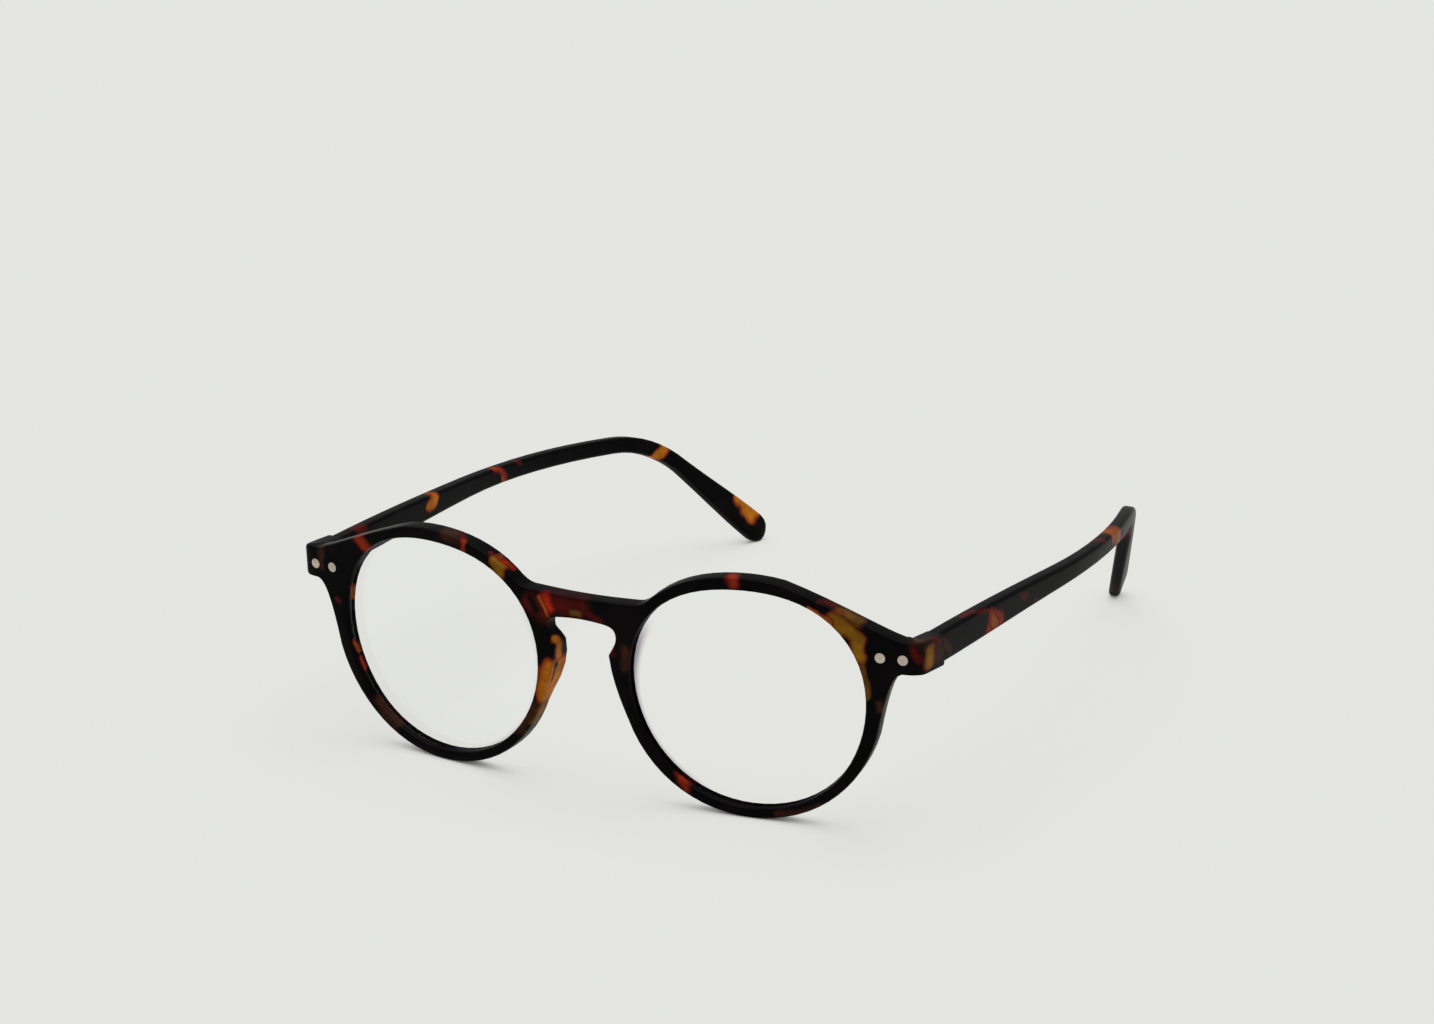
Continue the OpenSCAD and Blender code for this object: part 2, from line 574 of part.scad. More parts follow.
// Front hinge: a leaf on the end piece's inner face, tabbed into it, with two knuckles
knuckle_r = knuckle_d / 2;
knuckle_gap = run_gap;
module front_hinge(side) {
    color("silver") at_hinge(side) difference() {
        union() {
            block([leaf_x - leaf_t, leaf_back - leaf_l, -hinge_h / 2], [leaf_x, leaf_back, hinge_h / 2]);
            intersection() {
                tab(0);
                block([leaf_x - leaf_t, leaf_back - leaf_l, -hinge_h], [hinge_off + tab_d, 0, hinge_h]);
            }
            translate([0, 0, -hinge_h / 2]) cylinder(r = knuckle_r, h = hinge_h);
            block([0, -knuckle_r, -hinge_h / 2], [leaf_x, 0, hinge_h / 2]);
        }
        translate([0, 0, -eye_h / 2 - knuckle_gap])
            cylinder(r = knuckle_r + seam_gap, h = eye_h + 2 * knuckle_gap);
        block([leaf_x - leaf_t - seat_gap, leaf_back, -eye_h / 2 - knuckle_gap],
            [leaf_x + over, knuckle_d, eye_h / 2 + knuckle_gap]);
        translate([0, 0, -hinge_h]) cylinder(d = screw_d + 2 * run_gap, h = 2 * hinge_h);
        translate([0, 0, hinge_h / 2 - screw_head_h]) screw_head(2 * run_gap);
    }
}

// Hinge screw: a slotted countersunk head, level with the upper knuckle
slot_w = screw_head_d / 8;
slot_d = screw_head_h / 2;
module screw_head(gap) {
    cylinder(d1 = screw_d + gap, d2 = screw_head_d + gap, h = screw_head_h);
}

module hinge_screw(side) {
    color("#d8d8da") at_hinge(side) difference() {
        union() {
            translate([0, 0, -hinge_h / 2]) cylinder(d = screw_d, h = hinge_h - slot_d);
            translate([0, 0, hinge_h / 2 - screw_head_h]) screw_head(0);
        }
        block([-screw_head_d, -slot_w / 2, hinge_h / 2 - slot_d],
            [screw_head_d, slot_w / 2, hinge_h / 2 + over]);
    }
}

// Hinge eye: the barrel between the knuckles and the rod that the spring pulls
rod_x = hinge_off + housing_seat - housing_w / 2;
mouth_y = knuckle_r + housing_w / 5;
arm_y = mouth_y - seam_gap;
bush_y = mouth_y + bush_l;
nut_y = bush_y + spring_l + 2 * run_gap;
rod_end = nut_y + nut_l + rod_d / 3;
module hinge_eye(side) {
    color("silver") at_hinge(side) difference() {
        union() {
            translate([0, 0, -eye_h / 2]) cylinder(r = knuckle_r, h = eye_h);
            block([0, 0, -eye_h / 2], [rod_x + rod_d / 2, arm_y, eye_h / 2]);
            bar(rod_d / 2, arm_y - rod_d / 2, rod_end);
        }
        translate([0, 0, -eye_h]) cylinder(d = screw_d + 2 * run_gap, h = 2 * eye_h);
    }
}

// Spring housing: sunk in the temple's inner face, bored for the spring
module spring_housing(side) {
    low_x = rod_x - housing_w / 2;
    high_x = rod_x + housing_w / 2;
    color("silver") at_hinge(side) difference() {
        union() {
            block([low_x, mouth_y, -housing_h / 2],
                [high_x, mouth_y + housing_l - housing_h / 2, housing_h / 2]);
            translate([low_x, mouth_y + housing_l - housing_h / 2, 0]) rotate([0, 90, 0])
                cylinder(d = housing_h, h = housing_w);
        }
        bar(bore_d / 2, mouth_y - over, mouth_y + housing_l - housing_h / 2);
    }
}

// Guide bush: closes the housing's mouth round the rod
module guide_bush(side) {
    color("#b8b8bc") at_hinge(side) difference() {
        bar(bore_d / 2 - run_gap / 2, mouth_y, bush_y);
        bar(rod_d / 2 + run_gap, mouth_y - over, bush_y + over);
    }
}

// Flex spring: wound round the rod, with a closed turn at each end
wire_sides = 6;
turn_steps = 10;
coil_r = (bore_d + rod_d) / 4;
end_turn_share = 0.06;
spring_steps = (turns + 2) * turn_steps;
spring_low = bush_y + run_gap + wire_d / 2;
spring_high = bush_y + spring_l + run_gap - wire_d / 2;
function coil_share(k) = let (u = k / turn_steps)
    u < 1 ? end_turn_share * u :
    u > turns + 1 ? 1 - end_turn_share * (turns + 2 - u) :
    mix(end_turn_share, 1 - end_turn_share, (u - 1) / turns);
wire_points = join_lists([for (k = [0 : spring_steps]) let (
        a = 360 * k / turn_steps,
        y = mix(spring_low, spring_high, coil_share(k)))
    [for (m = [0 : wire_sides - 1]) let (b = 360 * m / wire_sides,
            r = coil_r + wire_d / 2 * cos(b))
        [rod_x + r * cos(a), y + wire_d / 2 * sin(b), r * sin(a)]]]);
wire_last = spring_steps * wire_sides;
wire_faces = concat(
    [for (m = [1 : wire_sides - 2]) [0, m, m + 1]],
    [for (m = [1 : wire_sides - 2]) [wire_last, wire_last + m + 1, wire_last + m]],
    join_lists([for (k = [0 : spring_steps - 1], m = [0 : wire_sides - 1])
        let (a = k * wire_sides + m, b = k * wire_sides + (m + 1) % wire_sides)
        quad(a, a + wire_sides, b + wire_sides, b)]));
module flex_spring(side) {
    color("#8d8d92") at_hinge(side) polyhedron(wire_points, wire_faces);
}

// Spring nut: holds the spring on the end of the rod
module spring_nut(side) {
    color("#b8b8bc") at_hinge(side) difference() {
        bar(bore_d / 2 - 2 * run_gap, nut_y, nut_y + nut_l);
        bar(rod_d / 2 + run_gap / 2, nut_y - over, nut_y + nut_l + over);
    }
}

// Temple: a slim bar that falls and curves in behind the ear, seated round the housing
module temple(side) {
    color("#2a1510") at_hinge(side) difference() {
        polyhedron(temple_points, temple_faces);
        block([rod_x - housing_w, temple_start - over, -housing_h / 2 - seat_gap],
            [rod_x + housing_w / 2 + seat_gap, mouth_y + housing_l + seat_gap, housing_h / 2 + seat_gap]);
    }
}

front_frame();
lens(1);  // lens_left
lens(-1);  // lens_right
front_rivets(1);  // front_rivets_left
front_rivets(-1);  // front_rivets_right
front_hinge(1);  // front_hinge_left
front_hinge(-1);  // front_hinge_right
hinge_screw(1);  // hinge_screw_left
hinge_screw(-1);  // hinge_screw_right
hinge_eye(1);  // hinge_eye_left
hinge_eye(-1);  // hinge_eye_right
spring_housing(1);  // spring_housing_left
spring_housing(-1);  // spring_housing_right
guide_bush(1);  // guide_bush_left
guide_bush(-1);  // guide_bush_right
flex_spring(1);  // flex_spring_left
flex_spring(-1);  // flex_spring_right
spring_nut(1);  // spring_nut_left
spring_nut(-1);  // spring_nut_right
temple(1);  // temple_left
temple(-1);  // temple_right
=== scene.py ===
# %% [markdown]
# Reading glasses in soft tortoiseshell.
# The solid parts of these glasses, from the moulded front down to the springs in the hinges, come
# from a packed model. Loading it gives one Blender object for each part, already in place and in
# metres. They are never moved. This lesson gives them their finish, their light and their camera.

# %% Load the packed model
import math

import bpy
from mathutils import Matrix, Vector


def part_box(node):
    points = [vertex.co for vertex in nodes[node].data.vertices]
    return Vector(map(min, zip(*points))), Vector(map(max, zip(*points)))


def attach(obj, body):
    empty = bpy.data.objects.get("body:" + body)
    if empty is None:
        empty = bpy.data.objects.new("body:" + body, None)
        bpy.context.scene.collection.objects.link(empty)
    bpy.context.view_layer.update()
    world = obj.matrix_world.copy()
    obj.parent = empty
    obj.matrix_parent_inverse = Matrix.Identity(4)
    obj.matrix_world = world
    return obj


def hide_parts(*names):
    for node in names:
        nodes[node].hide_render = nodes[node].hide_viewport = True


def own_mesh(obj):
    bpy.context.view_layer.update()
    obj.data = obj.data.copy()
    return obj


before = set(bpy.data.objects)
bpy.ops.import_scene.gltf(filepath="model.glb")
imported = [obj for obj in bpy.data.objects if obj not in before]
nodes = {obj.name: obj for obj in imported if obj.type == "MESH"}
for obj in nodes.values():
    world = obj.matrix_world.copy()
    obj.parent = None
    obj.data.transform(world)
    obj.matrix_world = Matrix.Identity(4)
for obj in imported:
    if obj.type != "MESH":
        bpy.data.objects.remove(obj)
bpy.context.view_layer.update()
MM = 0.001

# %% [markdown]
# Places on the glasses.
# The finish has to follow the parts: the bevel of a lens runs round its own middle, and the camera
# is aimed from the point where the rims touch the table. Reading these places from the parts
# themselves keeps them right when the model changes size.

# %% Measure the places that the finish and the camera need
# A point this low touches the table.
TOUCH = 0.02 * MM

lens_low, lens_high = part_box("lens_left")
lens_middle = (lens_low + lens_high) / 2
lens_half = (lens_high - lens_low) / 2
front_points = [v.co for v in nodes["front_frame"].data.vertices]
rim_touch_y = min(point.y for point in front_points if point.z < TOUCH)
print("lens middle", tuple(round(c / MM, 1) for c in lens_middle), "mm")
print("rims touch the table at y", round(rim_touch_y / MM, 1), "mm")

# %% [markdown]
# The camera.
# A product photograph like this is taken from a little above and to one side, with a long lens so
# that the near rim doesn't look swollen. The camera is placed by its angle round the glasses, its
# height and its distance, because those are the things a photographer would change.

# %% Place the camera
VIEW_ROUND = math.radians(27.525)
VIEW_UP = math.radians(16.526)
VIEW_DISTANCE = 619.05 * MM
VIEW_AIM = Vector((27.0 * MM, rim_touch_y, 59.52 * MM))
SENSOR_W = 36.0
IMAGE_W = 1434
FOCAL_PIXELS = 3328
# What is nearer to or farther from the camera than this, in metres, isn't drawn.
NEAREST_SEEN = 0.01
FARTHEST_SEEN = 20


def direction(round_angle, height):
    """The way from the glasses to something seen at an angle round them and a height, in radians.

    An angle of 0 is straight in front of the lenses.
    """
    level = math.cos(height)
    return Vector((
        math.sin(round_angle) * level,
        -math.cos(round_angle) * level,
        math.sin(height),
    ))


def make_camera():
    """A long lens, aimed just above the bridge."""
    data = bpy.data.cameras.new("camera")
    camera = bpy.data.objects.new("camera", data)
    bpy.context.scene.collection.objects.link(camera)
    back = direction(VIEW_ROUND, VIEW_UP)
    camera.location = VIEW_AIM + back * VIEW_DISTANCE
    camera.rotation_euler = (-back).to_track_quat("-Z", "Y").to_euler()
    data.sensor_width = SENSOR_W
    data.lens = FOCAL_PIXELS / IMAGE_W * SENSOR_W
    data.clip_start = NEAREST_SEEN
    data.clip_end = FARTHEST_SEEN
    data.dof.use_dof = False
    bpy.context.scene.camera = camera
    return camera


camera = make_camera()
print("camera lens", round(camera.data.lens, 1), "mm")

# %% [markdown]
# Small helpers for materials.
# A material in Blender is a graph of nodes. Every finish here starts from an empty graph, and a
# few helpers add and link the nodes, so that each finish reads as a short recipe. The sums are
# plain nodes with one job each, because then any value on the way can be looked at in Blender.

# %% Start a material and join its nodes
# A Mix node has sockets for numbers, vectors and colours. These are the ones for colours.
MIX_COLOUR_INPUTS = (6, 7)
MIX_COLOUR_OUTPUT = 2


class Recipe:
    """One material, with short ways to add and join its nodes."""

    def __init__(self, name):
        self.material = bpy.data.materials.new(name)
        self.material.use_nodes = True
        self.tree = self.material.node_tree
        self.tree.nodes.clear()
        self.output = self.tree.nodes.new("ShaderNodeOutputMaterial")

    def add(self, kind, **settings):
        """A new node, with its settings filled in."""
        node = self.tree.nodes.new(kind)
        for key, value in settings.items():
            setattr(node, key, value)
        return node

    def join(self, source, target):
        """A link from one socket to another."""
        self.tree.links.new(source, target)

    def feed(self, socket, value):
        """Fills a socket from another socket, or with a plain value."""
        if isinstance(value, bpy.types.NodeSocket):
            self.join(value, socket)
        else:
            socket.default_value = value

    def maths(self, operation, a, b):
        """The result of one sum on numbers."""
        node = self.add("ShaderNodeMath", operation=operation)
        self.feed(node.inputs[0], a)
        self.feed(node.inputs[1], b)
        return node.outputs[0]

    def vector(self, operation, a, b=(0.0, 0.0, 0.0)):
        """The node for one sum on places or directions."""
        node = self.add("ShaderNodeVectorMath", operation=operation)
        self.feed(node.inputs[0], a)
        self.feed(node.inputs[1], b)
        return node

    def noise(self, place, size, detail=2.0, roughness=0.5):
        """Cloudy noise whose blobs are about as wide as size."""
        node = self.add("ShaderNodeTexNoise")
        self.join(place, node.inputs["Vector"])
        node.inputs["Scale"].default_value = 1 / size
        node.inputs["Detail"].default_value = detail
        node.inputs["Roughness"].default_value = roughness
        return node

    def fade(self, value, start, end):
        """0 before start, 1 after end, and smooth between."""
        node = self.add("ShaderNodeMapRange", interpolation_type="SMOOTHSTEP")
        self.join(value, node.inputs["Value"])
        node.inputs["From Min"].default_value = start
        node.inputs["From Max"].default_value = end
        return node.outputs[0]

    def blend(self, amount, a, b):
        """Colour a where amount is 0 and colour b where it is 1."""
        node = self.add("ShaderNodeMix", data_type="RGBA")
        self.feed(node.inputs[0], amount)
        for index, tint in zip(MIX_COLOUR_INPUTS, (a, b)):
            self.feed(node.inputs[index], tint)
        return node.outputs[MIX_COLOUR_OUTPUT]

    def uneven(self, cloud, least, spread):
        """A number that rises from least by up to spread where the noise is thick."""
        return self.maths("ADD", least, self.maths("MULTIPLY", cloud.outputs["Fac"], spread))

    def bump(self, cloud, strength, height):
        """The noise as a relief of that height, felt at a share of its full strength."""
        node = self.add("ShaderNodeBump")
        node.inputs["Strength"].default_value = strength
        node.inputs["Distance"].default_value = height
        self.join(cloud.outputs["Fac"], node.inputs["Height"])
        return node.outputs[0]

    def shader(self, base_colour, roughness):
        """The Principled shader, joined to the output."""
        node = self.add("ShaderNodeBsdfPrincipled")
        self.feed(node.inputs["Base Color"], base_colour)
        self.feed(node.inputs["Roughness"], roughness)
        self.join(node.outputs[0], self.output.inputs["Surface"])
        return node

    def place(self):
        """The point on the part, in its own axes, so that it stays put when the part moves."""
        return self.add("ShaderNodeTexCoord").outputs["Object"]


print("helpers:", [name for name in vars(Recipe) if not name.startswith("_")])

# %% [markdown]
# Colours.
# A maker picks colours as they look on a screen, from 0 to 255. Blender adds and blends light, so
# each colour is turned into amounts of light by the screen's own curve. A dark brown that looks a
# third as bright as white on the screen gives back much less than a third of its light.

# %% Turn screen colours into light
SCREEN_FULL = 255
SCREEN_LINEAR_END = 0.04045
SCREEN_LINEAR_SLOPE = 12.92
SCREEN_OFFSET = 0.055
SCREEN_POWER = 2.4


def light(level):
    """One screen level, from 0 to 255, as an amount of light."""
    share = level / SCREEN_FULL
    if share <= SCREEN_LINEAR_END:
        return share / SCREEN_LINEAR_SLOPE
    return ((share + SCREEN_OFFSET) / (1 + SCREEN_OFFSET)) ** SCREEN_POWER


def colour(red, green, blue):
    """A solid colour written as it looks on a screen."""
    return (light(red), light(green), light(blue), 1.0)


def dimmed(tint, share):
    """The same colour with a share of its light."""
    return tuple(c * share for c in tint[:3]) + (1.0,)


print("black-brown as light:", [round(c, 4) for c in colour(20, 17, 18)])

# %% [markdown]
# Tortoiseshell.
# Real tortoiseshell plastic is a near-black brown with cloudy, see-through patches: amber in the
# middle, burning to orange and red before they sink into the dark. A repeating noise can't put the
# patches where these glasses have them, so each patch is a soft streak between two points in the
# plastic. Distance counts less across the thickness, so the streaks reach the back too, as they do
# in cut plastic. Noise bends the space around them and gives their edges the ragged, melted look.

# Three streaks along the top edges of the rims carry painted sheen and highlight; each is marked
# below.
# %% Describe the patches
# Each patch is its kind, its two ends and its half width, in millimetres.
FRONT_PATCHES = [
    ("brown", (-63.2, -78.0, 41.5), (-62.8, -78.0, 35.5), 1.0),
    ("red", (-53.4, -79.6, 44.0), (-51.0, -80.2, 42.0), 1.4),
    ("copper", (-56.6, -77.0, 32.0), (-57.3, -76.3, 29.0), 0.5),
    ("ember", (-59.4, -78.0, 29.4), (-58.8, -78.0, 29.0), 0.7),
    ("copper", (-56.4, -76.6, 20.8), (-56.0, -76.0, 18.0), 0.5),
    ("red", (-55.8, -76.2, 16.6), (-54.9, -76.0, 14.4), 0.5),
    ("brown", (-51.0, -77.0, 8.6), (-46.0, -78.0, 4.4), 1.2),
    # Painted sheen: this brown streak lies along the top of the rim and stands for the brownish
    # sheen there.
    ("brown", (-31.0, -82.5, 48.2), (-27.6, -82.5, 47.8), 1.7),
    ("ember", (-26.8, -82.4, 48.0), (-26.4, -83.2, 46.8), 0.9),
    ("red", (-26.2, -83.4, 47.2), (-25.9, -83.8, 45.8), 0.75),
    ("olive", (-18.6, -83.6, 44.4), (-17.2, -84.0, 42.6), 1.2),
    # Partly painted highlight: a red line in the plastic, made brighter along the rounded top edge
    # where light catches it.
    ("flame", (-20.4, -82.6, 45.6), (-15.6, -82.0, 42.8), 0.4),
    ("ember", (-10.8, -84.2, 37.4), (-8.0, -84.2, 36.0), 2.4),
    ("ember", (-6.0, -84.2, 38.2), (0.6, -84.2, 38.2), 2.5),
    ("ember", (1.6, -84.2, 37.8), (4.4, -84.2, 36.0), 1.1),
    ("flame", (-7.6, -84.4, 39.0), (-6.4, -84.4, 36.8), 1.3),
    ("shade", (-10.6, -84.2, 38.2), (-9.6, -84.2, 36.4), 1.0),
    ("copper", (-8.6, -84.4, 38.8), (-6.9, -84.4, 35.6), 0.5),
    ("umber", (-1.2, -84.6, 37.4), (0.2, -84.6, 37.2), 0.8),
    ("amber", (-6.4, -82.6, 30.4), (-6.0, -81.4, 26.8), 0.65),
    ("amber", (-7.2, -81.2, 25.0), (-8.8, -81.4, 18.4), 2.0),
    ("copper", (-9.2, -83.4, 23.4), (-10.0, -83.4, 19.6), 1.2),
    ("umber", (-9.6, -81.4, 17.4), (-12.2, -81.4, 12.2), 0.9),
    ("olive", (-8.6, -81.2, 18.2), (-10.8, -81.2, 14.2), 0.7),
    ("brown", (-11.6, -83.3, 16.4), (-14.6, -83.3, 10.6), 1.8),
    ("ember", (6.4, -83.0, 31.0), (7.0, -83.0, 29.8), 1.1),
    ("brown", (9.8, -83.5, 31.2), (9.4, -83.5, 27.6), 1.3),
    ("red", (31.0, -82.5, 50.0), (32.0, -82.5, 47.2), 1.4),
    ("ember", (48.8, -79.0, 45.6), (51.8, -78.4, 44.4), 0.9),
    # Painted sheen: this umber streak lies along the top of the rim and stands for the brownish
    # sheen there.
    ("umber", (52.0, -79.0, 43.6), (56.2, -78.8, 42.2), 1.2),
    ("copper", (47.0, -80.7, 43.8), (51.0, -80.3, 41.6), 0.7),
    ("olive", (51.4, -80.0, 42.4), (56.2, -79.4, 39.2), 1.5),
    ("olive", (55.8, -79.2, 38.8), (56.6, -79.0, 35.4), 1.3),
    ("umber", (56.8, -78.8, 34.4), (57.6, -78.4, 28.0), 0.8),
    ("brown", (60.0, -78.4, 26.8), (60.2, -78.4, 25.0), 0.9),
    ("brown", (66.4, -75.6, 39.0), (68.3, -69.8, 35.0), 1.7),
    ("ember", (66.4, -77.8, 38.0), (67.5, -76.6, 35.6), 0.8),
    ("olive", (68.1, -74.0, 37.4), (68.2, -73.6, 34.4), 0.85),
    ("ember", (68.2, -71.6, 38.6), (68.3, -69.8, 37.4), 0.7),
    ("red", (20.2, -81.5, 7.0), (21.6, -81.5, 4.6), 1.2),
    ("brown", (40.0, -80.0, 1.6), (48.0, -79.5, 4.0), 1.0),
    ("slit", (-6.6, -81.9, 26.0), (-6.7, -81.8, 24.6), 0.4),
    ("slit", (-6.8, -82.0, 24.6), (-7.9, -82.0, 20.8), 0.2),
]
LEFT_TEMPLE_PATCHES = [
    ("brown", (68.0, -66.4, 36.4), (68.1, -64.0, 34.4), 1.4),
    ("ember", (66.8, -57.0, 38.6), (67.6, -51.6, 38.4), 0.6),
    ("ember", (68.2, -52.0, 37.8), (68.9, -47.0, 37.0), 0.5),
    ("red", (69.0, -46.6, 36.2), (68.9, -47.2, 33.2), 1.3),
    ("red", (69.0, -45.6, 35.6), (69.2, -42.4, 34.2), 1.5),
    ("copper", (69.0, -46.0, 35.0), (69.1, -44.6, 33.6), 1.4),
    ("ember", (69.8, -33.0, 36.2), (69.8, -31.0, 35.6), 0.9),
    ("ember", (70.0, -27.0, 33.6), (70.0, -26.4, 33.2), 0.5),
    ("ember", (68.6, 7.4, 36.2), (68.8, 11.0, 35.4), 1.0),
    ("brown", (67.4, 14.0, 36.0), (67.4, 22.0, 35.8), 1.0),
    ("copper", (69.0, 17.4, 34.8), (68.7, 22.6, 33.4), 1.9),
    ("red", (56.0, 56.0, 24.0), (54.0, 60.0, 22.0), 1.3),
    ("brown", (48.0, 75.0, 9.0), (48.0, 78.0, 3.0), 1.8),
]
RIGHT_TEMPLE_PATCHES = [
    ("ember", (-65.4, -61.5, 38.6), (-66.0, -59.0, 38.0), 1.2),
    ("red", (-67.2, -29.0, 38.0), (-66.8, -29.2, 36.8), 1.0),
    ("amber", (-66.8, -29.8, 36.4), (-66.6, -32.2, 35.6), 1.4),
    ("red", (-68.2, -3.2, 36.4), (-67.6, -1.0, 35.6), 0.8),
    ("red", (-67.6, -1.0, 35.4), (-67.4, 0.4, 33.6), 1.1),
    ("copper", (-67.5, -0.6, 33.8), (-67.4, -0.2, 32.6), 0.9),
    ("ember", (-67.9, 5.6, 36.4), (-67.9, 7.0, 35.4), 0.7),
    ("amber", (-56.0, 55.8, 28.4), (-57.6, 52.0, 26.2), 1.3),
    ("amber", (-48.0, 76.4, 11.4), (-46.6, 81.0, 7.2), 1.7),
    ("amber", (-47.6, 78.0, 8.4), (-46.8, 79.6, 6.6), 1.9),
]
print("patches:", len(FRONT_PATCHES), len(LEFT_TEMPLE_PATCHES), len(RIGHT_TEMPLE_PATCHES))

# %% [markdown]
# From the heart of a patch to its rim.
# Walking outward through a patch, the colour goes through a few steps. Each kind of patch has its
# own walk, from its heart through a glowing band to the dark. Keeping the walk apart from the
# places means that one change of amber changes every amber patch. Kinds further down the list lie
# over those above them, where two patches cross.

# %% Choose the colours of each kind of patch
# Each step is where it ends, as a share of the patch's half width, and its colour.
WALKS = {
    "brown": [(0.2, colour(62, 34, 20)), (0.6, colour(36, 18, 12))],
    "ember": [(0.2, colour(84, 18, 14)), (0.6, colour(56, 13, 12))],
    "umber": [(0.3, colour(108, 72, 26)), (0.7, colour(68, 40, 16))],
    "red": [(0.25, colour(150, 46, 22)), (0.65, colour(106, 22, 16))],
    "olive": [
        (0.3, colour(150, 102, 22)),
        (0.65, colour(122, 70, 18)),
        (0.9, colour(98, 24, 14)),
    ],
    "flame": [(0.2, colour(184, 44, 20)), (0.6, colour(124, 22, 15))],
    "shade": [(0.1, colour(14, 9, 9))],
    "copper": [
        (0.3, colour(166, 86, 28)),
        (0.65, colour(136, 52, 20)),
        (0.9, colour(100, 24, 14)),
    ],
    "amber": [
        (0.35, colour(204, 120, 28)),
        (0.68, colour(170, 82, 20)),
        (0.9, colour(118, 28, 14)),
    ],
    "slit": [(0.6, colour(26, 18, 16))],
}
# The outermost colour has faded out at this share of the half width, beyond the nominal edge.
PATCH_EDGE = 1.3
# Each inner colour melts into the next one over this share.
PATCH_STEP = 0.3
print("kinds of patch:", list(WALKS))

# %% [markdown]
# How far a point is from a patch.
# A streak is a line between two points with a rounded reach all round it. The distance from any
# point in the plastic to that line is a few sums: how far along the line the point lies, held
# between its two ends, and then the gap to that foot. A maximum and a minimum do the holding. With
# a Math node's own clamp in their place, the values of all the streaks have to wait for it at once,
# and with some 40 streaks the material ran out of room for them and turned black.

# %% Measure how far out of the patches a point is
# Each warp is the width of its blobs and its strength.
SLOW_WARP = (5 * MM, 2.4 * MM)
QUICK_WARP = (1.3 * MM, 0.5 * MM)
NOISE_MIDDLE = (0.5, 0.5, 0.5)


def warped(recipe, place):
    """Space bent by slow and quick noise, which makes the patches' edges ragged."""
    for size, strength in (SLOW_WARP, QUICK_WARP):
        cloud = recipe.noise(place, size)
        push = recipe.vector("SUBTRACT", cloud.outputs["Color"], NOISE_MIDDLE).outputs[0]
        push = recipe.vector("MULTIPLY", push, (strength,) * 3).outputs[0]
        place = recipe.vector("ADD", place, push).outputs[0]
    return place


def streak_reach(recipe, place, start, end, half):
    """How far out of one streak the point is: 0 on its middle line and 1 at its edge."""
    along = end - start
    offset = recipe.vector("SUBTRACT", place, start).outputs[0]
    share = recipe.vector("DOT_PRODUCT", offset, along / along.length_squared).outputs["Value"]
    share = recipe.maths("MINIMUM", recipe.maths("MAXIMUM", share, 0.0), 1.0)
    foot = recipe.vector("SCALE", along)
    recipe.join(share, foot.inputs["Scale"])
    gap = recipe.vector("DISTANCE", offset, foot.outputs[0]).outputs["Value"]
    return recipe.maths("DIVIDE", gap, half)


def nearest(recipe, place, patches, squash):
    """How far out of the nearest of these streaks the point is."""
    result = None
    for _, start, end, half in patches:
        ends = [Vector(point) * MM * squash for point in (start, end)]
        reach = streak_reach(recipe, place, *ends, half * MM)
        result = reach if result is None else recipe.maths("MINIMUM", result, reach)
    return result


farthest_push = (SLOW_WARP[1] + QUICK_WARP[1]) / 2
print("the noise moves a patch's edge by up to", round(farthest_push / MM, 2), "mm each way")

# %% [markdown]
# The finish of the plastic.
# The colour starts as the dark ground, and each kind of patch is laid over it from its rim to its
# heart. Slow streaks in the plastic dim each patch here and there, as if it lay deeper. The plastic
# is satin: a faint grain and a low gloss let the dark stay black, also where light grazes it.

# %% Build the tortoiseshell finish
DARK = colour(6, 5, 7)
DARK_CLOUD = colour(15, 9, 11)
CLOUD_SIZE = 9 * MM
CLOUD_FADE = (0.45, 0.75)
DEPTH_SIZE = 3 * MM
DEPTH_FADE = (0.35, 0.7)
DEEP_LIGHT = 0.6
GRAIN_SIZE = 0.35 * MM
GRAIN_STRENGTH = 0.05
GRAIN_HEIGHT = 0.02 * MM
WEAR_SIZE = 4 * MM
PLASTIC_ROUGHNESS = 0.28
PLASTIC_WEAR = 0.12
PLASTIC_GLOSS = 0.025


def patch_over(recipe, surface, reach, walk, depth):
    """The surface with one kind of patch laid over it, from the rim to the heart."""
    edge = PATCH_EDGE
    for stop, tint in reversed(walk):
        inside = recipe.maths("SUBTRACT", 1.0, recipe.fade(reach, stop, edge))
        cloudy = recipe.blend(depth, dimmed(tint, DEEP_LIGHT), tint)
        surface = recipe.blend(inside, surface, cloudy)
        edge = stop + PATCH_STEP
    return surface


def tortoiseshell(name, patches, squash):
    """Satin tortoiseshell plastic with its patches."""
    recipe = Recipe(name)
    place = recipe.place()
    bent = recipe.vector("MULTIPLY", warped(recipe, place), squash).outputs[0]
    cloud = recipe.noise(place, CLOUD_SIZE, detail=3.0)
    surface = recipe.blend(recipe.fade(cloud.outputs["Fac"], *CLOUD_FADE), DARK, DARK_CLOUD)
    streaky = recipe.noise(place, DEPTH_SIZE, detail=4.0, roughness=0.6)
    depth = recipe.fade(streaky.outputs["Fac"], *DEPTH_FADE)
    for kind, walk in WALKS.items():
        chosen = [patch for patch in patches if patch[0] == kind]
        if chosen:
            reach = nearest(recipe, bent, chosen, squash)
            surface = patch_over(recipe, surface, reach, walk, depth)
    grain = recipe.noise(place, GRAIN_SIZE, detail=4.0, roughness=0.6)
    wear = recipe.noise(place, WEAR_SIZE, detail=4.0, roughness=0.7)
    shader = recipe.shader(surface, recipe.uneven(wear, PLASTIC_ROUGHNESS, PLASTIC_WEAR))
    recipe.join(recipe.bump(grain, GRAIN_STRENGTH, GRAIN_HEIGHT), shader.inputs["Normal"])
    shader.inputs["Specular IOR Level"].default_value = PLASTIC_GLOSS
    return recipe.material


def cover(node_name, material):
    """Gives a part one material."""
    data = nodes[node_name].data
    data.materials.clear()
    data.materials.append(material)


